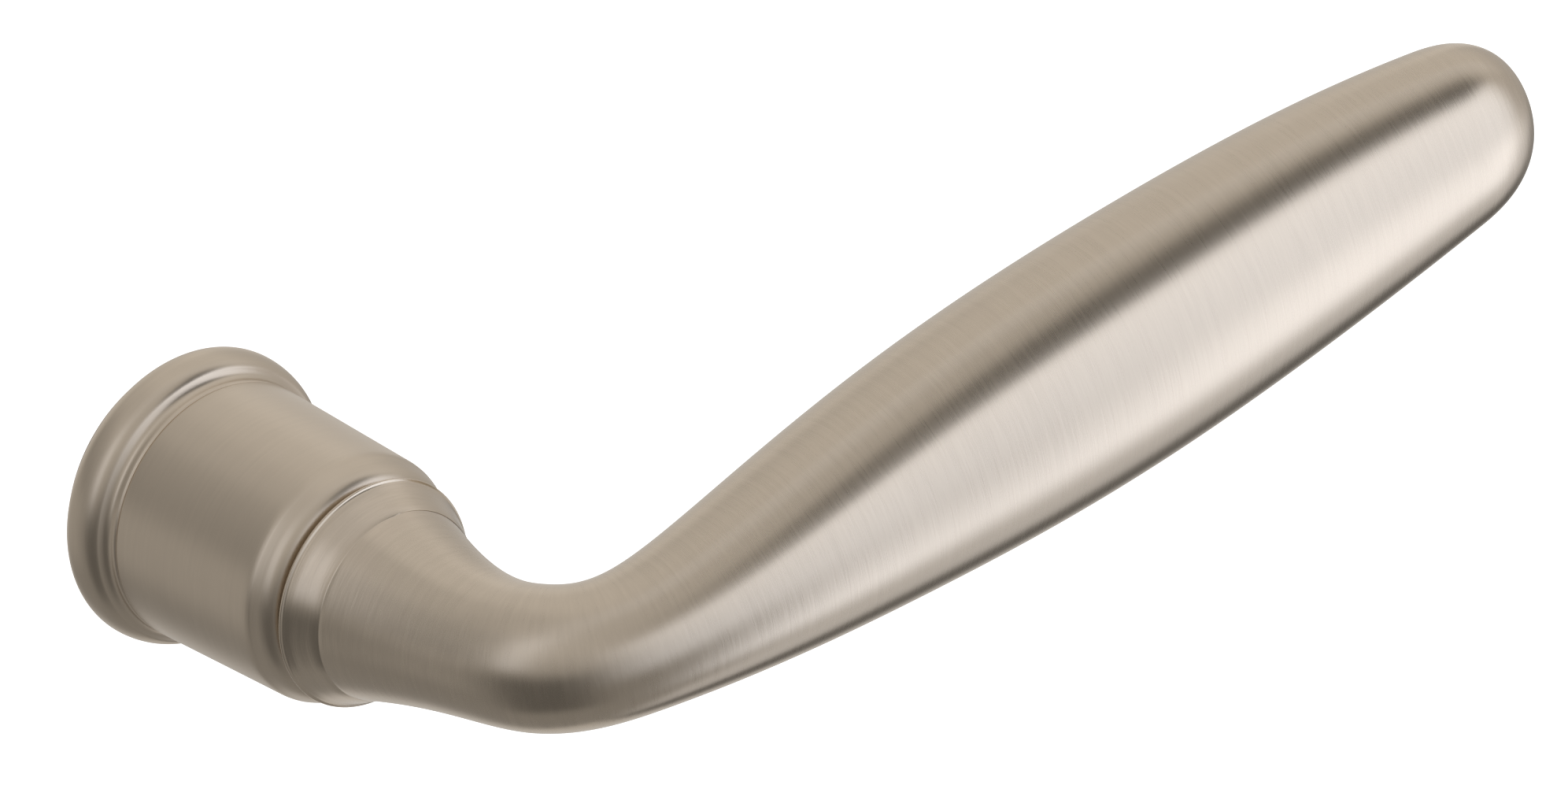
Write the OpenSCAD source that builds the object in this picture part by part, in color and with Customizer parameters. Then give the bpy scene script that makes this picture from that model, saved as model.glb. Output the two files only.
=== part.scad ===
// Door lever handle on a slim turned collar, with its return-spring
// cassette inside the collar. Millimetres. The spindle axis is the Y axis,
// the door face is the plane y = 0, the room side is -Y, the lever points
// along +X at rest and +Z is up.

/* [Collar] */
// Largest diameter of the rounded rim
rim_d = 28.5; // [28.2:0.1:28.7]
// Barrel diameter next to the rim
barrel_d1 = 25; // [24.8:0.1:25.2]
// Barrel diameter at the start of the shoulder
barrel_d2 = 24.06; // [23.96:0.05:24.16]
// Distance from the door face to the collar's lip
lip_t = 27.5; // [27.4:0.05:27.55]

/* [Lever] */
// Centre line of the lever, distance from the spindle axis, one value per control point
spine_x = [0, -0.15, 1.85, 13, 39.5, 70, 99.5, 115.8];
// Centre line of the lever, distance out from the door face, one value per control point
spine_h = [26.1, 41.5, 51.5, 55.4, 54.6, 55.9, 55.7, 57.4];
// Half height of the lever along its length, one value per control point
half_height = [11, 6.2, 7.1, 6.1, 9.4, 12.5, 12.8, 10.6, 8];
// Half depth of the lever along its length, one value per control point
half_depth = [11, 6.2, 7.1, 6.1, 8.1, 9.25, 9.2, 7.65, 5.9];
// Length over which the tip is rounded off
tip_len = 9; // [7:0.2:11]
// Bluntness of the tip, 2 is an ellipse
tip_blunt = 2.7; // [2:0.1:3.4]
// Number of sections along the lever
lever_rings = 54; // [30:2:60]
// Number of sides of each section
lever_sides = 32; // [24:4:40]

/* [Shank and spindle] */
// Diameter of the shank that turns in the bushes
shank_d = 14.2; // [14:0.1:14.3]
// Width of the square socket for the spindle
socket_w = 8.1; // [7.1:0.1:8.2]
// Distance from the door face to the blind end of the shank
shank_end = 35.5; // [34.8:0.1:36]

/* [Bearings and spring] */
// Radial clearance between the shank and its bushes
bush_gap = 0.05; // [0.02:0.01:0.1]
// Wire diameter of the return spring
wire_d = 1; // [0.8:0.1:1.1]
// Number of coils of the return spring
coils = 5; // [4:1:5]
// Travel of the lever in degrees
travel = 45; // [30:5:50]

/* [Fixing] */
// Diameter of the circle of tapped holes in the sub-base
fix_pcd = 21.4; // [21:0.1:21.6]
// Radius of the tapped holes (M3 core)
fix_r = 1.25; // [1.1:0.05:1.3]
// Number of tapped holes
fix_n = 3; // [2:1:4]

/* [Hidden] */
$fn = 96;

shank_r = shank_d / 2;
bush_ri = shank_r + bush_gap;
bush_ro = 7.75;
body_ri = 10.4;        // inside of the collar
body_ro = 10.35;       // outside of the bearing housing
chamber_r = 9;         // spring chamber
cover_r = 9.5;         // counterbore for the front cover
cover_t0 = 20;         // rear face of the front cover
cover_t1 = 22.4;       // front face of the front cover
house_t1 = 24.2;       // front end of the bearing housing
ledge_t = 24.4;        // inner ledge of the collar's lip
flange_r = 12.2;       // sub-base flange
flange_t0 = 0.5;
flange_t1 = 3;
recess_t = 3;          // floor of the recess for the retaining ring
web_t1 = 6;
ring_t0 = lip_t + 0.38; // back face of the lever's ring
ring_r = 11.03;
crease_t = 31.25;
crease_r = 9.31;
spigot_r = 6.6;
slot_a = 200;          // angle of the fixed spring leg
drive_a = 20;          // angle of the moving spring leg
lug_a = 150;           // angle of the stop lug at rest
lug_w = 18;            // angular width of the stop lug
spring_r = 8.3;
spring_t0 = 7.6;
spring_pitch = 1.25;
grub_t = 33;           // spindle grub screw, distance from the door face
cgrub_t = 12;          // collar grub screw, distance from the door face

// --- helpers ---------------------------------------------------------

// turns a shape made along +Z so that +Z points out of the door face
module out() { rotate([90, 0, 0]) children(); }

// ring about the axis, from t0 to t1, between two radii
module ring(ri, ro, t0, t1) {
    difference() {
        translate([0, 0, t0]) cylinder(r = ro, h = t1 - t0);
        translate([0, 0, t0 - 1]) cylinder(r = ri, h = t1 - t0 + 2);
    }
}

// wedge of a disc, between angles a0 and a1
module wedge(r, a0, a1, t0, t1) {
    n = 6;
    translate([0, 0, t0]) linear_extrude(height = t1 - t0)
        polygon(concat([[0, 0]], [for (i = [0:n]) let (a = a0 + (a1 - a0) * i / n)
            r * 1.25 * [cos(a), sin(a)]]));
}

// quarter-ellipse profile points, radius first, distance out second
function qarc(cr, ct, ar, at, a0, a1, n) =
    [for (i = [0:n]) let (a = a0 + (a1 - a0) * i / n) [cr + ar * cos(a), ct + at * sin(a)]];

// cubic B-spline with clamped ends
function knot(i, m) = min(1, max(0, (i - 3) / (m - 3)));
function basis(i, k, u, m) = k == 0
    ? ((knot(i, m) <= u && u < knot(i + 1, m)) ? 1 : 0)
    : let (a = knot(i + k, m) - knot(i, m), b = knot(i + k + 1, m) - knot(i + 1, m))
      (a > 0 ? (u - knot(i, m)) / a * basis(i, k - 1, u, m) : 0) +
      (b > 0 ? (knot(i + k + 1, m) - u) / b * basis(i + 1, k - 1, u, m) : 0);
function spline(c, u) = let (v = min(u, 0.999999), m = len(c))
    [for (i = [0:m - 1]) basis(i, 3, v, m)] * c;
function unit(v) = v / norm(v);

// closed tube along points P, radius r, n sides
module tube(P, r, n) {
    m = len(P);
    T = [for (i = [0:m - 1]) unit(P[min(i + 1, m - 1)] - P[max(i - 1, 0)])];
    n0 = abs(T[0][2]) < 0.9 ? [0, 0, 1] : [1, 0, 0];
    N = [for (i = 0, v = unit(n0 - (n0 * T[0]) * T[0]); i < m; i = i + 1,
         v = i < m ? unit(v - (v * T[i]) * T[i]) : v) v];
    pts = [for (i = [0:m - 1]) for (j = [0:n - 1]) let (a = 360 * j / n)
        P[i] + r * (cos(a) * N[i] + sin(a) * cross(T[i], N[i]))];
    faces = concat(
        [[for (j = [0:n - 1]) j]],
        [for (i = [0:m - 2]) for (j = [0:n - 1])
            [i * n + j, (i + 1) * n + j, (i + 1) * n + (j + 1) % n, i * n + (j + 1) % n]],
        [[for (j = [0:n - 1]) (m - 1) * n + n - 1 - j]]);
    polyhedron(points = pts, faces = faces, convexity = 6);
}

// --- collar and sub-base (fixed to the door) -------------------------

// thin turned shell: rounded rim, cove and groove, tapered barrel, shoulder, lip
module collar() {
    color([0.66, 0.61, 0.54]) out() difference() {
        rotate_extrude() polygon(concat(
            [[12.25, 0], [12.75, 0], [12.75, 0.6]],
            qarc(rim_d / 2 - 1.4, 2.45, 1.4, 1.75, -85, 0, 5),
            qarc(rim_d / 2 - 1.4, 2.45, 1.4, 2.65, 10, 76, 8),
            [[13, 5.13], [12.8, 5.27], [12.63, 5.45], [12.52, 5.68], [12.48, 5.9], [12.47, 6.15],
             [12.42, 6.33], [12.35, 6.45], [12.42, 6.57], [barrel_d1 / 2, 6.75], [barrel_d1 / 2, 7.2]],
            [for (q = [[0, 24.15], [-0.05, 24.5], [-0.14, 24.8], [-0.22, 25], [-0.4, 25.5], [-0.58, 26],
                       [-0.82, 26.5], [-1.04, 26.8], [-1.33, 27.05], [-1.68, 27.25], [-2.08, 27.36], [-2.53, lip_t - 0.03]])
                [barrel_d2 / 2 + q[0], q[1]]],
            [[9, lip_t], [7.5, lip_t], [7.5, ledge_t], [body_ri, ledge_t], [body_ri, flange_t1 + 0.05],
             [12.25, flange_t1 + 0.05]]));
        translate([0, -8, cgrub_t]) rotate([90, 0, 0]) cylinder(r = 1.5, h = 7);
    }
}

// sub-base: flange with tapped holes, bearing web and spring chamber in one
module bearing_housing() {
    color([0.62, 0.62, 0.63]) out() difference() {
        union() {
            translate([0, 0, flange_t0]) cylinder(r = flange_r, h = flange_t1 - flange_t0);
            translate([0, 0, flange_t0]) cylinder(r = body_ro, h = house_t1 - flange_t0);
        }
        translate([0, 0, -1]) cylinder(r = 9, h = recess_t + 1);
        translate([0, 0, 1]) cylinder(r = bush_ro + 0.02, h = 8);
        translate([0, 0, web_t1]) cylinder(r = chamber_r, h = 30);
        translate([0, 0, cover_t0]) cylinder(r = cover_r, h = 30);
        translate([0, 0, cover_t1 + 0.05]) cylinder(r = 9.95, h = 1);
        for (i = [0:fix_n - 1]) rotate([0, 0, 270 + 360 * i / fix_n])
            translate([fix_pcd / 2, 0, -1]) cylinder(r = fix_r, h = flange_t1 + 1);
        // slot for the fixed leg of the spring
        rotate([0, 0, slot_a]) translate([8.5, -0.7, spring_t0 - 1.1]) cube([4, 1.4, 2.2]);
        // window for the stop lug
        intersection() {
            ring(chamber_r - 0.5, body_ro + 1, 15.2, cover_t0 - 0.2);
            wedge(12, lug_a - lug_w / 2 - travel - 0.6, lug_a + lug_w / 2 + 0.6, 15.2, cover_t0 - 0.2);
        }
        // seat for the point of the collar's grub screw
        translate([0, -9.6, cgrub_t]) rotate([90, 0, 0]) cylinder(r = 1.55, h = 3);
    }
}

// thin nylon pad between the sub-base and the door
module door_pad() {
    color([0.12, 0.12, 0.12]) out() difference() {
        ring(9.2, 12.15, 0, flange_t0);
        for (i = [0:fix_n - 1]) rotate([0, 0, 270 + 360 * i / fix_n])
            translate([fix_pcd / 2, 0, -1]) cylinder(r = fix_r + 0.1, h = 3);
    }
}

module rear_bush() {
    color([0.72, 0.5, 0.28]) out() ring(bush_ri, bush_ro, recess_t + 0.02, web_t1);
}

module front_bush() {
    color([0.72, 0.5, 0.28]) out() ring(bush_ri, bush_ro, cover_t0, cover_t1);
}

// closes the spring chamber and carries the front bush
module front_cover() {
    color([0.62, 0.62, 0.63]) out() ring(bush_ro + 0.02, cover_r - 0.05, cover_t0 + 0.01, cover_t1);
}

// open snap ring in the housing's groove
module cover_snap_ring() {
    color([0.3, 0.3, 0.32]) out() difference() {
        ring(8.5, 9.9, cover_t1 + 0.1, cover_t1 + 1);
        wedge(12, 70, 110, cover_t1, cover_t1 + 2);
        for (a = [62, 118]) rotate([0, 0, a]) translate([9.1, 0, cover_t1 - 1]) cylinder(r = 0.35, h = 4);
    }
}

module thrust_washer() {
    color([0.75, 0.75, 0.76]) out() ring(bush_ri + 0.1, 8.8, cover_t0 - 0.4, cover_t0 - 0.02);
}

// torsion spring: fixed leg in the housing's slot, moving leg in the driver
function spring_path() = let (
        n = 16, m = coils * n + round(n * ((drive_a - slot_a + 360) % 360) / 360),
        rise = spring_pitch * m / n,
        c0 = [cos(slot_a), sin(slot_a)], c1 = [cos(drive_a), sin(drive_a)])
    concat(
        [[10.15 * c0[0], 10.15 * c0[1], spring_t0], [9.3 * c0[0], 9.3 * c0[1], spring_t0],
         [8.75 * c0[0], 8.75 * c0[1], spring_t0]],
        [for (i = [1:m - 1]) let (a = slot_a + (drive_a - slot_a + 360 * ceil((slot_a - drive_a) / 360) + 360 * coils) * i / m)
            [spring_r * cos(a), spring_r * sin(a), spring_t0 + rise * i / m]],
        [[spring_r * c1[0], spring_r * c1[1], spring_t0 + rise + 0.35],
         [spring_r * c1[0], spring_r * c1[1], spring_t0 + rise + 0.9],
         [spring_r * c1[0], spring_r * c1[1], 17.4]]);

module return_spring() {
    color([0.35, 0.36, 0.38]) out() tube(spring_path(), wire_d / 2, 10);
}

// set screw with a hexagon socket, point inwards
module set_screw(r, len, key) {
    difference() {
        union() {
            cylinder(r = r, h = len - 0.4);
            translate([0, 0, len - 0.4]) cylinder(r1 = r, r2 = r * 0.72, h = 0.4);
        }
        translate([0, 0, -0.5]) cylinder(r = key / sqrt(3), h = 0.5 + len * 0.45, $fn = 6);
    }
}

// holds the collar on the sub-base, from below
module collar_grub_screw() {
    color([0.3, 0.3, 0.32]) out() translate([0, -12.1, cgrub_t]) rotate([-90, 0, 0]) set_screw(1.48, 2.4, 1.5);
}

// nylon washer in the gap between the collar's lip and the lever's ring
module glide_washer() {
    color([0.08, 0.08, 0.08]) out() ring(shank_r + 0.15, 8.9, lip_t + 0.02, ring_t0 - 0.03);
}

// --- lever and what turns with it ------------------------------------

function spine(u) = [spline(spine_x, u), spline(spine_h, u)];

// neck and grip: sections across the centre line, rounded off at the tip
module lever_sweep() {
    n = lever_sides;
    m = lever_rings - 1;
    u0 = 0.016;
    ve = norm(spine(1) - spine(0.97)) / 0.03;
    uc = 1 - tip_len / ve;
    // even sections to the start of the tip, then eight that round it off
    U = concat(
        [for (i = [0:m - 8]) let (s = i / (m - 8)) u0 + (uc - u0) * (s - 0.4 * sin(360 * s) / (2 * PI))],
        [for (j = [1:8]) 1 - (tip_len / ve) * (1 - sin(90 * j / 8))]);
    C = [for (u = U) spine(u)];
    L = [for (i = 0, a = 0; i <= m; i = i + 1, a = i <= m ? a + norm(C[i] - C[i - 1]) : a) a];
    pts = concat([for (i = [0:m - 1]) let (
            u = U[i],
            t = unit(spine(min(u + 0.002, 1)) - spine(u - 0.002)),
            rem = L[m] - L[i],
            cap = rem < tip_len ? pow(max(0.0001, 1 - pow(1 - rem / tip_len, tip_blunt)), 1 / tip_blunt) : 1,
            hh = spline(half_height, u) * cap, dd = spline(half_depth, u) * cap)
        for (j = [0:n - 1]) let (a = 360 * j / n)
            [C[i][0] + dd * cos(a) * t[1], hh * sin(a), C[i][1] - dd * cos(a) * t[0]]],
        [[C[m][0], 0, C[m][1]]]);
    faces = concat(
        [[for (j = [0:n - 1]) j]],
        [for (i = [0:m - 2]) for (j = [0:n - 1])
            [i * n + j, (i + 1) * n + j, (i + 1) * n + (j + 1) % n, i * n + (j + 1) % n]],
        [for (j = [0:n - 1]) [(m - 1) * n + j, m * n, (m - 1) * n + (j + 1) % n]]);
    polyhedron(points = pts, faces = faces, convexity = 6);
}

// the visible lever: turned ring, neck and grip in one forging
module lever_handle() {
    color([0.66, 0.61, 0.54]) out() difference() {
        union() {
            lever_sweep();
            rotate_extrude() polygon(concat(
                [[0, ring_t0], [10.6, ring_t0], [10.85, ring_t0 + 0.06], [10.98, ring_t0 + 0.2],
                 [ring_r, ring_t0 + 0.36], [11, ring_t0 + 0.42], [10.85, ring_t0 + 0.51],
                 [10.71, ring_t0 + 0.68], [10.45, 29], [10.15, 29.6], [9.85, 30.2], [9.56, 30.8],
                 [crease_r, crease_t], [crease_r - 0.11, crease_t + 0.17], [0, crease_t + 0.17]]));
        }
        translate([0, 0, 20]) cylinder(r = spigot_r + 0.02, h = shank_end + 0.1 - 20);
        // tapped hole for the spindle grub screw, from below
        translate([0, -3, grub_t]) rotate([90, 0, 0]) cylinder(r = 2, h = 10);
        // half of the hole for the spigot pin
        translate([-spigot_r, 0, 20]) cylinder(r = 0.75, h = 13.1);
    }
}

// broached sleeve that turns in the bushes and holds the spindle
module shank() {
    color([0.6, 0.6, 0.61]) out() difference() {
        union() {
            translate([0, 0, 0.2]) cylinder(r = shank_r, h = ring_t0 - 0.2);
            translate([0, 0, 10]) cylinder(r = spigot_r, h = shank_end - 10);
        }
        translate([-socket_w / 2, -socket_w / 2, -1]) cube([socket_w, socket_w, 40]);
        // groove for the retaining ring
        ring(6.6, 9, 0.9, 1.95);
        // keyway for the spring driver
        translate([-1, 6.1, 15.9]) cube([2, 3, 3.4]);
        // tapped hole for the spindle grub screw
        translate([0, -3, grub_t]) rotate([90, 0, 0]) cylinder(r = 2, h = 10);
        // half of the hole for the spigot pin
        translate([-spigot_r, 0, ring_t0]) cylinder(r = 0.75, h = 33.1 - ring_t0);
    }
}

// dowel half in the spigot and half in the lever, stops them turning apart
module spigot_pin() {
    color([0.75, 0.75, 0.76]) out() translate([-spigot_r, 0, ring_t0 + 0.05]) cylinder(r = 0.73, h = 5);
}

// clamps the spindle, from below
module spindle_grub_screw() {
    color([0.3, 0.3, 0.32]) out() translate([0, -8.1, grub_t]) rotate([-90, 0, 0]) set_screw(1.98, 3.8, 2);
}

// ring keyed to the shank: winds the spring and carries the stop lug
module spring_driver() {
    color([0.78, 0.66, 0.4]) out() difference() {
        union() {
            ring(shank_r + 0.03, 8.85, 15.6, 19.5);
            intersection() {
                ring(8.5, 10.15, 15.6, 19.5);
                wedge(12, lug_a - lug_w / 2, lug_a + lug_w / 2, 15.6, 19.5);
            }
        }
        // notch for the moving leg of the spring
        rotate([0, 0, drive_a]) translate([spring_r - wire_d / 2 - 0.1, -wire_d / 2 - 0.1, 15]) cube([3, wire_d + 0.2, 2.6]);
        // keyway
        translate([-1.02, 5, 15]) cube([2.04, 3.15, 6]);
    }
}

module driver_key() {
    color([0.75, 0.75, 0.76]) out() translate([-0.98, 6.12, 15.95]) cube([1.96, 1.98, 3.3]);
}

// three-wave washer that takes up the end play
module wave_washer() {
    n = 48;
    ri = shank_r + 0.2;
    ro = 8.75;
    th = 0.22;
    color([0.55, 0.56, 0.58]) out() {
        pts = [for (i = [0:n - 1]) let (a = 360 * i / n, z = 2.66 + 0.1 * cos(3 * a))
            for (q = [[ri, -th / 2], [ro, -th / 2], [ro, th / 2], [ri, th / 2]])
                [q[0] * cos(a), q[0] * sin(a), z + q[1]]];
        faces = [for (i = [0:n - 1]) for (j = [0:3]) let (k = (i + 1) % n, l = (j + 1) % 4)
            [i * 4 + j, i * 4 + l, k * 4 + l, k * 4 + j]];
        polyhedron(points = pts, faces = faces, convexity = 4);
    }
}

module backing_washer() {
    color([0.75, 0.75, 0.76]) out() ring(shank_r + 0.1, 8.75, 1.98, 2.4);
}

// open spring-steel ring in the shank's groove, holds the lever in the housing
module retaining_ring() {
    color([0.3, 0.3, 0.32]) out() difference() {
        ring(6.65, 8.4, 0.93, 1.92);
        wedge(12, -14, 14, 0, 3);
        for (a = [22, -22]) rotate([0, 0, a]) translate([7.7, 0, 0]) cylinder(r = 0.4, h = 3);
    }
}

collar();
bearing_housing();
door_pad();
rear_bush();
front_bush();
front_cover();
cover_snap_ring();
thrust_washer();
return_spring();
collar_grub_screw();
glide_washer();
lever_handle();
shank();
spigot_pin();
spindle_grub_screw();
spring_driver();
driver_key();
wave_washer();
backing_washer();
retaining_ring();
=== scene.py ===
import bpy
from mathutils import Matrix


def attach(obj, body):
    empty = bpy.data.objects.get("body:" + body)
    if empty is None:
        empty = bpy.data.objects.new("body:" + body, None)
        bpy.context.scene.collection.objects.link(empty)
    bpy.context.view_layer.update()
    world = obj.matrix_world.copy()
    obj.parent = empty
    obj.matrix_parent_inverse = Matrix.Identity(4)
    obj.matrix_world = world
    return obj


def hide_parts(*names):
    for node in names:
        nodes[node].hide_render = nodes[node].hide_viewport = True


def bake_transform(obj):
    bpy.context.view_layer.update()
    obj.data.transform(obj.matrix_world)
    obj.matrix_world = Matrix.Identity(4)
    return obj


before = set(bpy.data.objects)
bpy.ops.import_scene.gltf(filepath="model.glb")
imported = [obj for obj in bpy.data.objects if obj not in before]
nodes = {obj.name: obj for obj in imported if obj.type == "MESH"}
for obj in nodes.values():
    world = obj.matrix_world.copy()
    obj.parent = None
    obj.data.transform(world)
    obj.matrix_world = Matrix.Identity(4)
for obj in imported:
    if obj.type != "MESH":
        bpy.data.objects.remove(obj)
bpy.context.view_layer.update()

import math

import bmesh
import bpy
import numpy as np
from mathutils import Matrix

scene = bpy.context.scene
MM = 0.001


# --- camera ------------------------------------------------------------

def rodrigues(w):
    t = np.linalg.norm(w)
    k = np.array(w) / t
    K = np.array([[0, -k[2], k[1]], [k[2], 0, -k[0]], [-k[1], k[0], 0]])
    return np.eye(3) + math.sin(t) * K + (1 - math.cos(t)) * K @ K


def make_camera():
    a = np.array([0.619, -0.375, 0.69])
    b = np.array([0.773, 0.444, -0.452])
    c = np.cross(a, b)
    c /= np.linalg.norm(c)
    b = np.cross(c, a)
    b /= np.linalg.norm(b)
    a = np.cross(b, c)
    R0 = np.column_stack([b, -a, np.cross(b, -a)])
    R = R0 @ rodrigues((-0.01568682, -0.01671097, 0.0489962))
    T = np.array([-55.4831745, -8.50664822, -1561.12507312])
    eye = -R.T @ T
    cam = bpy.data.cameras.new("camera")
    cam.sensor_width = 36.0
    cam.lens = 21703.36 * 36.0 / 1992.0
    cam.clip_start = 0.05
    cam.clip_end = 40.0
    ob = bpy.data.objects.new("camera", cam)
    scene.collection.objects.link(ob)
    M = Matrix.Identity(4)
    for i in range(3):
        for j in range(3):
            M[i][j] = R.T[i, j]
        M[i][3] = eye[i] * MM
    ob.matrix_world = M
    scene.camera = ob


make_camera()

# --- node helpers --------------------------------------------------------


class Net:
    """A material's or world's node tree, with short calls for the nodes used here."""

    def __init__(self, tree):
        self.t = tree
        tree.nodes.clear()

    def new(self, kind, **kw):
        n = self.t.nodes.new(kind)
        for k, v in kw.items():
            setattr(n, k, v)
        return n

    def put(self, socket, value):
        if isinstance(value, bpy.types.NodeSocket):
            self.t.links.new(value, socket)
        else:
            socket.default_value = value

    def math(self, op, a, b=0.0, clamp=False):
        n = self.new("ShaderNodeMath", operation=op, use_clamp=clamp)
        self.put(n.inputs[0], a)
        self.put(n.inputs[1], b)
        return n.outputs[0]

    def mul(self, *v):
        out = v[0]
        for x in v[1:]:
            out = self.math("MULTIPLY", out, x)
        return out

    def add(self, *v):
        out = v[0]
        for x in v[1:]:
            out = self.math("ADD", out, x)
        return out

    def ramp(self, v, a, b, c=0.0, d=1.0, kind="SMOOTHSTEP"):
        n = self.new("ShaderNodeMapRange", interpolation_type=kind)
        n.clamp = True
        for s, x in zip(n.inputs[:5], (v, a, b, c, d)):
            self.put(s, x)
        return n.outputs[0]

    def noise(self, vec, scale=1.0, detail=3.0, rough=0.55):
        n = self.new("ShaderNodeTexNoise")
        self.put(n.inputs["Vector"], vec)
        n.inputs["Scale"].default_value = scale
        n.inputs["Detail"].default_value = detail
        n.inputs["Roughness"].default_value = rough
        return n.outputs["Fac"]

    def xyz(self, x, y, z):
        n = self.new("ShaderNodeCombineXYZ")
        for s, v in zip(n.inputs, (x, y, z)):
            self.put(s, v)
        return n.outputs[0]

    def mix(self, f, a, b):
        n = self.new("ShaderNodeMix", data_type="RGBA")
        self.put(n.inputs["Factor"], f)
        self.put(n.inputs[6], a)
        self.put(n.inputs[7], b)
        return n.outputs[2]

    def bump(self, height, strength, distance, normal=None):
        n = self.new("ShaderNodeBump")
        n.inputs["Strength"].default_value = strength
        n.inputs["Distance"].default_value = distance
        self.put(n.inputs["Height"], height)
        if normal is not None:
            self.put(n.inputs["Normal"], normal)
        return n.outputs[0]


def rgb(r, g, b):
    return (r, g, b, 1.0)


def material(name, slot):
    m = bpy.data.materials.new(name)
    m.use_nodes = True
    net = Net(m.node_tree)
    out = net.new("ShaderNodeOutputMaterial")
    p = net.new("ShaderNodeBsdfPrincipled")
    net.t.links.new(p.outputs[0], out.inputs[0])
    return m, net, p


def turned(net, k, a):
    """Coordinates whose noise runs in rings around the spindle axis: k cells a metre across them, a sets their length."""
    o = net.new("ShaderNodeTexCoord").outputs["Object"]
    s = net.new("ShaderNodeSeparateXYZ")
    net.put(s.inputs[0], o)
    x, y, z = s.outputs
    r = net.math("SQRT", net.add(net.mul(x, x), net.mul(z, z)))
    r = net.math("MAXIMUM", r, 1e-5)
    return net.xyz(net.mul(net.math("DIVIDE", x, r), a), net.mul(net.math("DIVIDE", z, r), a),
                   net.mul(net.math("SUBTRACT", r, y), k)), o


def metal(name, colour, rough, grain, wear=None, var=0.10, streak=0.06, bump=0.25, depth=4e-6, cloud=60.0, spread=0.06, aniso=0.0, turn=0.0, polish=0.04):
    """Solid metal with a directional grain, tonal clouds and slightly polished edges.

    With aniso, highlights stretch along the mesh attribute flow, which runs across the brush marks."""
    m, net, p = material(name, None)
    vec, obj = grain(net)
    fine = net.noise(vec, 1.0, 4.0, 0.7)
    broad = net.noise(obj, cloud, 3.0, 0.5)
    tone = net.add(net.mul(net.math("SUBTRACT", fine, 0.5), streak * 2), net.mul(net.math("SUBTRACT", broad, 0.5), var))
    f = net.math("ADD", tone, 0.5, clamp=True)
    c = [min(1.0, v) for v in colour]
    lo = rgb(*[v * 0.72 for v in c])
    hi = rgb(*[min(1.0, v * 1.28) for v in c])
    base = net.mix(f, lo, hi)
    r = net.add(rough, net.mul(net.math("SUBTRACT", fine, 0.5), spread), net.mul(net.math("SUBTRACT", broad, 0.5), spread))
    if wear:
        at = net.new("ShaderNodeAttribute", attribute_name=wear)
        w = net.mul(at.outputs["Fac"], net.ramp(net.noise(obj, 900.0, 3.0, 0.6), 0.3, 0.7, 0.55, 1.0))
        base = net.mix(net.mul(w, 0.35), base, rgb(*[min(1.0, v * 1.25) for v in c]))
        r = net.math("SUBTRACT", r, net.mul(w, polish))
    if turn:
        at = net.new("ShaderNodeAttribute", attribute_name="turn")
        r = net.math("SUBTRACT", r, net.mul(at.outputs["Fac"], turn))
    net.put(p.inputs["Base Color"], base)
    net.put(p.inputs["Roughness"], r)
    net.put(p.inputs["Normal"], net.bump(fine, bump, depth))
    p.inputs["Metallic"].default_value = 1.0
    if aniso:
        at = net.new("ShaderNodeAttribute", attribute_name="flow")
        vt = net.new("ShaderNodeVectorTransform", vector_type="VECTOR", convert_from="OBJECT", convert_to="WORLD")
        net.put(vt.inputs[0], at.outputs["Vector"])
        net.put(p.inputs["Tangent"], vt.outputs[0])
        p.inputs["Anisotropic"].default_value = aniso
    return m


def around(k, a):
    return lambda net: turned(net, k, a)


def stored(name):
    def f(net):
        at = net.new("ShaderNodeAttribute", attribute_name=name)
        return at.outputs["Vector"], net.new("ShaderNodeTexCoord").outputs["Object"]
    return f


# --- mesh helpers ----------------------------------------------------------


def new_object(name, verts, faces, attrs=None, sharp=35.0):
    me = bpy.data.meshes.new(name)
    me.from_pydata([tuple(v) for v in verts], [], faces)
    me.update()
    for key, (kind, data) in (attrs or {}).items():
        at = me.attributes.new(key, kind, "POINT")
        if kind == "FLOAT":
            at.data.foreach_set("value", np.asarray(data, np.float32).ravel())
        else:
            at.data.foreach_set("vector", np.asarray(data, np.float32).ravel())
    me.shade_smooth()
    me.set_sharp_from_angle(angle=math.radians(sharp))
    ob = bpy.data.objects.new(name, me)
    scene.collection.objects.link(ob)
    return ob


def strip(rings, n, first=0, closed=False):
    f = []
    m = rings
    for i in range(m if closed else m - 1):
        k = (i + 1) % m
        for j in range(n):
            l = (j + 1) % n
            f.append((first + i * n + j, first + k * n + j, first + k * n + l, first + i * n + l))
    return f


def outward(ob):
    bm = bmesh.new()
    bm.from_mesh(ob.data)
    bmesh.ops.recalc_face_normals(bm, faces=bm.faces)
    bm.to_mesh(ob.data)
    bm.free()
    me = ob.data
    me.calc_loop_triangles()
    co = np.empty(len(me.vertices) * 3)
    me.vertices.foreach_get("co", co)
    tri = np.empty(len(me.loop_triangles) * 3, dtype=np.int32)
    me.loop_triangles.foreach_get("vertices", tri)
    v = co.reshape(-1, 3)[tri.reshape(-1, 3)]
    if float(np.einsum("ij,ij->i", v[:, 0], np.cross(v[:, 1], v[:, 2])).sum()) < 0:
        me.flip_normals()


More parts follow.
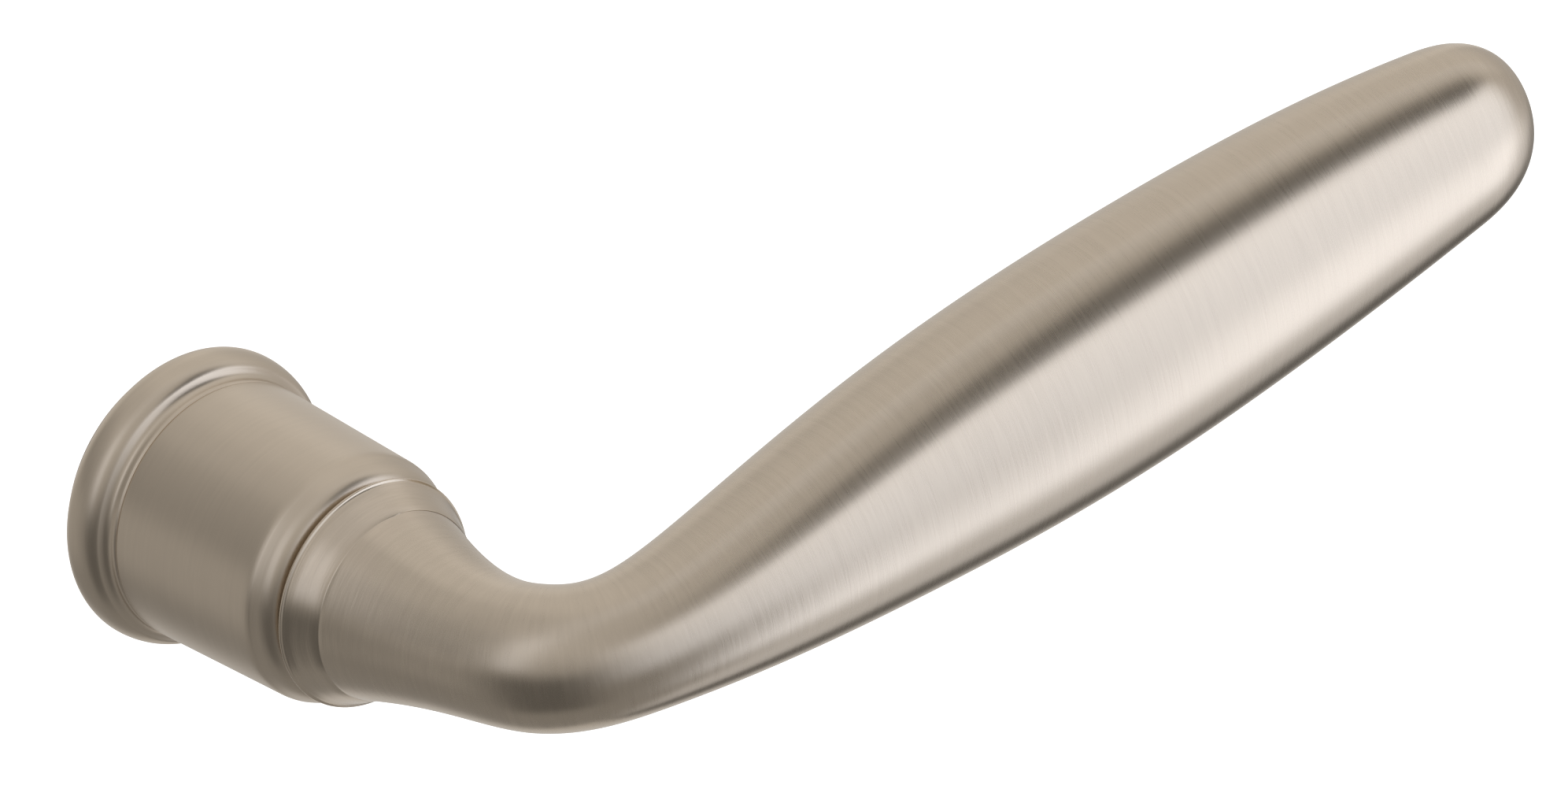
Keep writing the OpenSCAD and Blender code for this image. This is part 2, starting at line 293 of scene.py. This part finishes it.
def cut(ob, cutters, sharp=35.0):
    """Cuts the cutters out of the object and applies the result."""
    for c in cutters:
        md = ob.modifiers.new("cut", "BOOLEAN")
        md.operation = "DIFFERENCE"
        md.solver = "EXACT"
        md.object = c
    dg = bpy.context.evaluated_depsgraph_get()
    me = bpy.data.meshes.new_from_object(ob.evaluated_get(dg), preserve_all_data_layers=True, depsgraph=dg)
    ob.modifiers.clear()
    old = ob.data
    ob.data = me
    me.name = old.name
    bpy.data.meshes.remove(old)
    # no slivers where the cut meets the surface
    bm = bmesh.new()
    bm.from_mesh(me)
    bmesh.ops.remove_doubles(bm, verts=bm.verts, dist=4e-6)
    bmesh.ops.dissolve_degenerate(bm, dist=2e-6, edges=bm.edges)
    bmesh.ops.triangulate(bm, faces=[f for f in bm.faces if len(f.verts) > 4], quad_method="BEAUTY", ngon_method="BEAUTY")
    bmesh.ops.dissolve_degenerate(bm, dist=2e-6, edges=bm.edges)
    bm.to_mesh(me)
    bm.free()
    for c in cutters:
        d = c.data
        bpy.data.objects.remove(c)
        bpy.data.meshes.remove(d)
    me.shade_smooth()
    me.set_sharp_from_angle(angle=math.radians(sharp))


def tapped_hole(name, t, r, z_in, z_edge, z_out, n=64, lead=0.18):
    """Cutter for a hole from below: bore, small countersink at the surface, and out."""
    prof = [(r, z_in), (r, z_edge), (r + lead, z_edge - lead), (r + lead + 0.6, z_out)]
    verts, faces = [], []
    for rr, z in prof:
        for j in range(n):
            a = 2 * math.pi * j / n
            verts.append((rr * math.cos(a) * MM, (-t + rr * math.sin(a)) * MM, z * MM))
    faces = strip(len(prof), n)
    faces.append(tuple(range(n)))
    faces.append(tuple(range((len(prof) - 1) * n, len(prof) * n)))
    ob = new_object(name, verts, faces)
    outward(ob)
    return ob


def arc(cr, ct, ar, at, a0, a1, n):
    return [(cr + ar * math.cos(math.radians(a0 + (a1 - a0) * i / n)),
             ct + at * math.sin(math.radians(a0 + (a1 - a0) * i / n))) for i in range(n + 1)]


# --- collar -----------------------------------------------------------------

def smooth(points, n=6):
    """Extra points along a curve through the points (centripetal Catmull-Rom)."""
    P = np.array([points[0]] + list(points) + [points[-1]], float)
    P[0] = 2 * P[1] - P[2]
    P[-1] = 2 * P[-2] - P[-3]
    out = []
    for a, b, c, d in zip(P, P[1:], P[2:], P[3:]):
        t0 = 0.0
        t1 = t0 + np.linalg.norm(b - a) ** 0.5
        t2 = t1 + np.linalg.norm(c - b) ** 0.5
        t3 = t2 + np.linalg.norm(d - c) ** 0.5
        for t in np.linspace(t1, t2, n, endpoint=False):
            A1 = (t1 - t) / (t1 - t0) * a + (t - t0) / (t1 - t0) * b
            A2 = (t2 - t) / (t2 - t1) * b + (t - t1) / (t2 - t1) * c
            A3 = (t3 - t) / (t3 - t2) * c + (t - t2) / (t3 - t2) * d
            B1 = (t2 - t) / (t2 - t0) * A1 + (t - t0) / (t2 - t0) * A2
            B2 = (t3 - t) / (t3 - t1) * A2 + (t - t1) / (t3 - t1) * A3
            out.append(tuple((t2 - t) / (t2 - t1) * B1 + (t - t1) / (t2 - t1) * B2))
    return out + [tuple(points[-1])]


def collar_profile():
    bead = arc(12.85, 2.45, 1.4, 1.75, -85, 0, 22) + arc(12.85, 2.45, 1.4, 2.65, 0, 76, 36)[1:]
    cove = smooth([(13.19, 5.02), (13.0, 5.13), (12.8, 5.27), (12.63, 5.45), (12.52, 5.68), (12.48, 5.9), (12.47, 6.15),
                   (12.42, 6.33), (12.35, 6.45), (12.42, 6.57), (12.49, 6.72), (12.5, 6.95)], 3)[1:]
    barrel = [(12.5 - 0.47 * (t - 7.2) / 16.95, t) for t in np.linspace(8.0, 23.4, 9)]
    shoulder = smooth([(12.03, 24.15), (11.98, 24.5), (11.89, 24.8), (11.81, 25.0), (11.63, 25.5), (11.45, 26.0), (11.21, 26.5),
                       (10.99, 26.8), (10.7, 27.05), (10.35, 27.25), (9.95, 27.39), (9.5, 27.47), (9.0, 27.5)], 7)
    outer = [(12.35, 0.0), (12.7, 0.0), (12.74, 0.02), (12.75, 0.06), (12.75, 0.6)] + bead + cove + barrel + shoulder
    inner = [(8.5, 27.5), (7.65, 27.5), (7.5, 27.35), (7.5, 24.5), (7.6, 24.4), (10.3, 24.4), (10.4, 24.3),
             (10.4, 3.2), (10.5, 3.05), (12.17, 3.05), (12.25, 2.95), (12.25, 0.12)]
    return outer, inner


def flow(A, closed=False):
    """Unit direction from ring to ring at each vertex of a stack of rings."""
    D = np.roll(A, -1, axis=0) - np.roll(A, 1, axis=0) if closed else np.gradient(A, axis=0)
    return D / np.maximum(np.linalg.norm(D, axis=2, keepdims=True), 1e-9)


def lathe(name, outer, inner, n=256):
    prof = outer + inner
    P = np.array(prof)
    m = len(P)
    th = 2 * np.pi * np.arange(n) / n
    V = np.empty((m, n, 3))
    V[..., 0] = P[:, 0, None] * np.cos(th)
    V[..., 1] = -P[:, 1, None]
    V[..., 2] = P[:, 0, None] * np.sin(th)
    # edge wear: where the outer profile turns fast
    d = np.diff(np.vstack([P, P[:1]]), axis=0)
    ang = np.unwrap(np.arctan2(d[:, 1], d[:, 0]))
    seg = np.linalg.norm(d, axis=1)
    turn = np.abs(np.diff(np.r_[ang[-1] - 2 * np.pi * np.sign(ang[-1] - ang[0]), ang]))
    curv = turn / (0.5 * (seg + np.roll(seg, 1)) + 0.05)
    w = np.clip(curv / 1.2 - 0.25, 0, 1)
    w[len(outer):] = 0
    W = np.repeat(w, n)
    ob = new_object(name, (V * MM).reshape(-1, 3), strip(m, n, closed=True),
                    {"wear": ("FLOAT", W), "flow": ("FLOAT_VECTOR", flow(V, True).reshape(-1, 3))})
    outward(ob)
    return ob


collar = lathe("collar_visual", *collar_profile())
cut(collar, [tapped_hole("cut_a", 12.0, 1.5, -8.0, -12.3, -14.0)])
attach(collar, "rose")
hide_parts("collar")

# --- lever ---------------------------------------------------------------------

SPINE_X = [0, -0.15, 1.85, 13, 39.5, 70, 99.5, 115.8]
SPINE_T = [26.1, 41.5, 51.5, 55.4, 54.6, 55.9, 55.7, 57.4]
HALF_H = [11, 6.2, 7.1, 6.1, 9.4, 12.5, 12.8, 10.6, 8]
HALF_D = [11, 6.2, 7.1, 6.1, 8.1, 9.25, 9.2, 7.65, 5.9]
TIP_LEN, TIP_BLUNT = 9.0, 2.7


def bspline(c, u):
    """Clamped uniform cubic B-spline through the arrays of control values."""
    c = np.asarray(c, float)
    m = len(c)
    u = np.minimum(np.atleast_1d(u).astype(float), 0.999999)
    T = np.clip((np.arange(m + 4) - 3) / (m - 3), 0, 1)
    B = [(T[i] <= u) & (u < T[i + 1]) for i in range(m + 3)]
    B = [b.astype(float) for b in B]
    for k in (1, 2, 3):
        N = []
        for i in range(m + 3 - k):
            a, b = T[i + k] - T[i], T[i + k + 1] - T[i + 1]
            v = np.zeros_like(u)
            if a > 0:
                v += (u - T[i]) / a * B[i]
            if b > 0:
                v += (T[i + k + 1] - u) / b * B[i + 1]
            N.append(v)
        B = N
    return sum(c[i] * B[i] for i in range(m))


def centre(u):
    return np.column_stack([bspline(SPINE_X, u), bspline(SPINE_T, u)])


def lever_mesh(n=192, rings=380):
    ve = np.linalg.norm(centre(1.0)[0] - centre(0.97)[0]) / 0.03
    uc = 1 - TIP_LEN / ve
    # parameter of the first section: just in front of the crease
    uu = np.linspace(0.016, 0.05, 400)
    u0 = float(np.interp(31.5, bspline(SPINE_T, uu), uu))
    s = np.linspace(0, 1, rings)
    U = np.r_[u0 + (uc - u0) * (s - 0.35 * np.sin(2 * np.pi * s) / (2 * np.pi)),
              1 - (TIP_LEN / ve) * (1 - np.sin(np.pi / 2 * np.arange(1, 41) / 40))]
    C = centre(U)
    D = centre(np.minimum(U + 0.002, 1)) - centre(U - 0.002)
    D /= np.linalg.norm(D, axis=1)[:, None]
    L = np.r_[0, np.cumsum(np.linalg.norm(np.diff(C, axis=0), axis=1))]
    rem = L[-1] - L
    cap = np.where(rem < TIP_LEN, np.maximum(1e-9, 1 - np.abs(1 - rem / TIP_LEN) ** TIP_BLUNT) ** (1 / TIP_BLUNT), 1.0)
    hh, dd = bspline(HALF_H, U) * cap, bspline(HALF_D, U) * cap
    ph = 2 * np.pi * np.arange(n) / n
    X = C[:, 0, None] + dd[:, None] * np.cos(ph) * D[:, 1, None]
    Y = -(C[:, 1, None] - dd[:, None] * np.cos(ph) * D[:, 0, None])
    Z = hh[:, None] * np.sin(ph)
    S = np.stack([X, Y, Z], axis=2)
    # turned ring behind the crease, as circles about the spindle axis
    r0 = float(np.hypot(S[0, :, 0], S[0, :, 2]).mean())
    bore = [(6.62, 35.6), (6.62, 34.3), (6.62, 30.6), (6.62, 28.1), (6.8, 27.9), (7.2, 27.88), (9.0, 27.88), (10.5, 27.88)]
    edge = smooth([(10.7, 27.885), (10.85, 27.93), (10.96, 28.03), (11.02, 28.14), (11.03, 28.24), (11.0, 28.3),
                   (10.93, 28.345), (10.85, 28.39), (10.78, 28.45), (10.71, 28.56)], 4)
    cone = smooth([(10.71, 28.56), (10.45, 29.0), (10.15, 29.6), (9.85, 30.2), (9.56, 30.8), (9.31, 31.25), (9.2, 31.42)], 8)[1:]
    prof = bore + edge + cone + [(r0 + 0.015, 31.47)]
    P = np.array(prof)
    k = len(P)
    Rg = np.empty((k, n, 3))
    Rg[..., 0] = P[:, 0, None] * np.cos(ph)
    Rg[..., 1] = -P[:, 1, None]
    Rg[..., 2] = P[:, 0, None] * np.sin(ph)
    A = np.concatenate([Rg, S[:-1]])
    # grain: noise cells run around the section; along = distance from the ring
    tl = np.r_[0, np.cumsum(np.linalg.norm(np.diff(P, axis=0), axis=1))]
    along = np.r_[tl - tl[-1] - 0.5, L[:-1]]
    G = np.empty((k + len(S) - 1, n, 3))
    G[..., 0] = 1.5 * np.cos(ph)
    G[..., 1] = 1.5 * np.sin(ph)
    G[..., 2] = (along * 2.6)[:, None]
    wr = np.zeros(len(along))
    ne = len(bore) + len(edge)
    wr[len(bore):ne] = 0.6
    tipw = np.clip((10 - rem[:-1]) / 10, 0, 1) * 0.35
    wr[k:] = tipw
    wr[ne:k - 1] = 0.1
    V = A.reshape(-1, 3)
    nv = len(V)
    V = np.vstack([V, [[0, -35.6, 0]], [[C[-1, 0], -C[-1, 1], 0]]])
    g = np.vstack([G.reshape(-1, 3), [[0, 0, along[0] * 2.6]], [[0, 0, L[-1] * 2.6]]])
    w = np.r_[np.repeat(wr, n), 0.0, tipw[-1]]
    tn = np.clip(1 - np.maximum(along - 0.0, 0) / 2.5, 0, 1)
    tn = np.r_[np.repeat(tn, n), 1.0, 0.0]
    fl = np.vstack([flow(A).reshape(-1, 3), [[0, -1, 0]], [[1, 0, 0]]])
    m = len(A)
    faces = strip(m, n)
    faces += [(nv, j, (j + 1) % n) for j in range(n)]
    faces += [(nv + 1, (m - 1) * n + (j + 1) % n, (m - 1) * n + j) for j in range(n)]
    ob = new_object("lever_visual", V * MM, faces, {"grain": ("FLOAT_VECTOR", g), "wear": ("FLOAT", w), "flow": ("FLOAT_VECTOR", fl), "turn": ("FLOAT", tn)}, 40.0)
    outward(ob)
    return ob


lever = lever_mesh()
cut(lever, [tapped_hole("cut_b", 33.0, 2.0, -3.0, -8.6, -13.0)], 40.0)
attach(lever, "lever")
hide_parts("lever_handle")

# --- return spring ---------------------------------------------------------------


def spring_mesh():
    coils, per, r, t0, pitch, wire = 5, 48, 8.3, 7.6, 1.25, 0.5
    slot_a, drive_a = 200.0, 20.0
    turns = coils + ((drive_a - slot_a + 360) % 360) / 360
    m = int(turns * per)
    rise = pitch * turns
    c0 = np.array([math.cos(math.radians(slot_a)), math.sin(math.radians(slot_a))])
    c1 = np.array([math.cos(math.radians(drive_a)), math.sin(math.radians(drive_a))])
    P = [(*(10.15 * c0), t0), (*(9.7 * c0), t0), (*(9.3 * c0), t0), (*(8.75 * c0), t0)]
    a_end = drive_a + 360 + 360 * coils - slot_a if drive_a < slot_a else 360 * coils + drive_a - slot_a
    for i in range(3, m):
        a = math.radians(slot_a + a_end * i / m)
        P.append((r * math.cos(a), r * math.sin(a), t0 + rise * i / m))
    for q in (rise + 0.35, rise + 0.9, 17.4 - t0):
        P.append((*(r * c1), t0 + q))
    P = np.array(P)
    T = np.gradient(P, axis=0)
    T /= np.linalg.norm(T, axis=1)[:, None]
    v = np.array([0, 0, 1.0])
    n = 16
    ph = 2 * np.pi * np.arange(n) / n
    rings = []
    v = v - v @ T[0] * T[0]
    for p, t in zip(P, T):
        v = v - (v @ t) * t
        v /= np.linalg.norm(v)
        b = np.cross(t, v)
        rings.append(p + wire * (np.cos(ph)[:, None] * v + np.sin(ph)[:, None] * b))
    A = np.array(rings).reshape(-1, 3)
    k = len(P)
    V = np.column_stack([A[:, 0], -A[:, 2], A[:, 1]])
    faces = strip(k, n)
    faces += [tuple(range(n)), tuple(range((k - 1) * n, k * n))]
    ob = new_object("spring_visual", V * MM, faces)
    outward(ob)
    return ob


spring = spring_mesh()
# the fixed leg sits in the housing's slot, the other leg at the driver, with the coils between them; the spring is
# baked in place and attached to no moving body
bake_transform(spring)
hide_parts("return_spring")

# --- materials ----------------------------------------------------------------------

NICKEL = (0.600, 0.520, 0.425)
satin_lever = metal("satin_nickel_brushed", NICKEL, 0.275, stored("grain"), "wear", var=0.05, streak=0.2, bump=0.7, depth=1.4e-5, cloud=35.0, spread=0.06, aniso=0.6, turn=0.05)
satin_collar = metal("satin_nickel_turned", NICKEL, 0.315, around(2600.0, 1.5), "wear", var=0.10, streak=0.12, bump=0.5, depth=1.2e-5, cloud=90.0, spread=0.06, polish=-0.02)
zinc = metal("zinc_casting", (0.42, 0.42, 0.43), 0.46, around(900.0, 9.0), None, var=0.18, streak=0.05, bump=0.35, depth=2e-5, cloud=420.0)
bronze = metal("sintered_bronze", (0.50, 0.30, 0.14), 0.42, around(5000.0, 3.0), None, var=0.2, streak=0.06, bump=0.3, depth=6e-6, cloud=1500.0)
brass = metal("turned_brass", (0.66, 0.47, 0.20), 0.30, around(6000.0, 2.0), None, var=0.12, streak=0.07, bump=0.25, depth=5e-6, cloud=300.0)
steel = metal("turned_steel", (0.50, 0.50, 0.505), 0.30, around(6500.0, 2.0), None, var=0.12, streak=0.07, bump=0.25, depth=5e-6, cloud=260.0)
spring_steel = metal("spring_steel", (0.24, 0.235, 0.235), 0.34, around(2500.0, 6.0), None, var=0.22, streak=0.05, bump=0.2, depth=4e-6, cloud=700.0)
black_steel = metal("blackened_steel", (0.055, 0.055, 0.06), 0.42, around(4000.0, 4.0), None, var=0.25, streak=0.1, bump=0.3, depth=5e-6, cloud=1200.0)


def nylon(name, colour):
    m, net, p = material(name, None)
    o = net.new("ShaderNodeTexCoord").outputs["Object"]
    a = net.noise(o, 3500.0, 4.0, 0.6)
    b = net.noise(o, 260.0, 3.0, 0.5)
    f = net.math("ADD", net.mul(a, 0.5), net.mul(b, 0.5), clamp=True)
    net.put(p.inputs["Base Color"], net.mix(f, rgb(*[v * 0.6 for v in colour]), rgb(*[v * 1.5 for v in colour])))
    net.put(p.inputs["Roughness"], net.ramp(f, 0.3, 0.7, 0.42, 0.6))
    net.put(p.inputs["Normal"], net.bump(a, 0.35, 1.5e-5))
    p.inputs["Specular IOR Level"].default_value = 0.4
    return m


black_nylon = nylon("black_nylon", (0.022, 0.022, 0.023))


def finish_with(ob, mat):
    ob.data.materials.clear()
    ob.data.materials.append(mat)


finish_with(collar, satin_collar)
finish_with(lever, satin_lever)
finish_with(spring, spring_steel)
for names, mat in (
    (("collar",), satin_collar), (("lever_handle",), satin_lever),
    (("bearing_housing", "front_cover"), zinc), (("door_pad", "glide_washer"), black_nylon),
    (("rear_bush", "front_bush"), bronze), (("spring_driver",), brass),
    (("shank", "spigot_pin", "driver_key", "thrust_washer", "backing_washer"), steel),
    (("cover_snap_ring", "return_spring", "wave_washer", "retaining_ring"), spring_steel),
    (("collar_grub_screw", "spindle_grub_screw"), black_steel),
):
    for name in names:
        ob = nodes[name]
        if ob.material_slots:
            for s in ob.material_slots:
                s.material = mat
        else:
            ob.data.materials.append(mat)

# --- floor and light --------------------------------------------------------------------


def make_floor():
    s = 7.0
    me = bpy.data.meshes.new("floor")
    me.from_pydata([(-s, -s, 0), (s, -s, 0), (s, s, 0), (-s, s, 0)], [], [(0, 1, 2, 3)])
    ob = bpy.data.objects.new("floor", me)
    scene.collection.objects.link(ob)
    ob.location = (0, 0, -0.4)
    m, net, p = material("pale_floor", None)
    net.put(p.inputs["Base Color"], rgb(0.9, 0.9, 0.9))
    p.inputs["Roughness"].default_value = 0.9
    p.inputs["Specular IOR Level"].default_value = 0.0
    p.inputs["Emission Color"].default_value = rgb(1, 1, 1)
    p.inputs["Emission Strength"].default_value = 0.75
    me.materials.append(m)
    ob.visible_glossy = False
    ob.visible_diffuse = False


make_floor()


def make_world():
    """Soft studio surround: a tall softbox in front to the right with a wide skirt, a lamp low on the right,
    a paler ceiling with a dark flag between it and the softbox, a dim left side."""
    w = bpy.data.worlds.new("studio")
    scene.world = w
    w.use_nodes = True
    net = Net(w.node_tree)
    out = net.new("ShaderNodeOutputWorld")
    d = net.new("ShaderNodeTexCoord").outputs["Generated"]
    s = net.new("ShaderNodeSeparateXYZ")
    net.put(s.inputs[0], d)
    x, y, z = s.outputs
    az = net.mul(net.math("ARCTAN2", x, net.mul(y, -1.0)), 57.29578)
    el = net.mul(net.math("ARCSINE", z), 57.29578)

    def box(a0, a1, b0, b1, e0, e1, f0, f1):
        """1 inside, 0 outside: rises over a0-a1 and e0-e1, falls over b0-b1 and f0-f1 (azimuth, elevation)."""
        v = [net.ramp(az, a0, a1), net.ramp(az, b0, b1, 1.0, 0.0)]
        if e0 > -90:
            v.append(net.ramp(el, e0, e1))
        if f1 < 90:
            v.append(net.ramp(el, f0, f1, 1.0, 0.0))
        return net.mul(*v)

    az2 = net.math("FLOORED_MODULO", az, 360.0)
    room = net.ramp(el, -10, 50, ROOM[0], ROOM[1])
    dim = net.mul(box(-105, -85, -45, -20, -60, -45, -5, 18), 0.52)
    dim2 = net.mul(box(-178, -158, -112, -94, 2, 22, 44, 64), 0.3)
    hole = net.mul(box(86, 100, 116, 130, -90, -90, -52, -38), 0.6)
    room = net.mul(room, net.math("SUBTRACT", 1.0, net.math("ADD", net.math("ADD", dim, dim2), hole, clamp=True)))
    skirt = box(-32, 8, 10, 28, -28, -2, 24, 42)
    right = box(50, 66, 125, 146, -38, -15, 20, 44)
    upper = box(66, 104, 146, 172, 14, 42, 66, 88)
    lower = box(28, 44, 82, 98, -86, -68, -32, -14)
    back = net.mul(net.ramp(az2, 126, 137), net.ramp(az2, 162, 208, 1, 0), net.ramp(el, 12, 40, 1, 0))
    rear = net.mul(net.ramp(az2, 160, 195), net.ramp(az2, 226, 262, 1, 0), net.ramp(el, -38, -16), net.ramp(el, 2, 22, 1, 0))
    arch = net.mul(net.ramp(y, -0.30, -0.15), net.ramp(y, 0.01, 0.13, 1, 0), net.ramp(z, 0.1, 0.42), net.ramp(x, -0.64, -0.2, ARCH[0], ARCH[1]))
    flag = box(8, 24, 56, 70, 22, 29, 41, 55)
    key = box(10, 28, 52, 70, -62, -44, 20, 31)
    warm = net.add(room, net.mul(right, RIGHT), net.mul(upper, UPPER), net.mul(back, BACK), net.mul(rear, REAR), net.mul(lower, LOWER * 0.4))
    warm = net.mul(warm, net.math("SUBTRACT", 1.0, net.mul(flag, FLAG - 0.08)))
    cool = net.add(net.mul(skirt, SKIRT), net.mul(key, KEY), net.mul(lower, LOWER * 0.6))
    cool = net.mul(cool, net.math("SUBTRACT", 1.0, net.mul(flag, FLAG)))
    cool = net.add(cool, arch)

    def tint(value, colour):
        n = net.new("ShaderNodeVectorMath", operation="SCALE")
        net.put(n.inputs[0], colour)
        net.put(n.inputs["Scale"], value)
        return n.outputs[0]

    tot = net.new("ShaderNodeVectorMath", operation="ADD")
    net.put(tot.inputs[0], tint(warm, WARM))
    net.put(tot.inputs[1], tint(cool, COOL))
    e = net.new("ShaderNodeBackground")
    net.put(e.inputs["Color"], tot.outputs[0])
    white = net.new("ShaderNodeBackground")
    white.inputs["Color"].default_value = rgb(1, 1, 1)
    mix = net.new("ShaderNodeMixShader")
    lp = net.new("ShaderNodeLightPath")
    net.put(mix.inputs[0], lp.outputs["Is Camera Ray"])
    net.put(mix.inputs[1], e.outputs[0])
    net.put(mix.inputs[2], white.outputs[0])
    net.put(out.inputs[0], mix.outputs[0])


ROOM = (0.31, 0.60)
RIGHT, UPPER, BACK, REAR, FLAG = 0.26, 0.15, 0.36, 0.16, 0.92
SKIRT, KEY, LOWER = 0.6, 1.03, 0.5
ARCH = (0.4, 0.1)
WARM = (1.0, 0.97, 0.93)
COOL = (0.985, 1.07, 1.25)
make_world()
scene.view_settings.view_transform = "Standard"
scene.view_settings.look = "None"
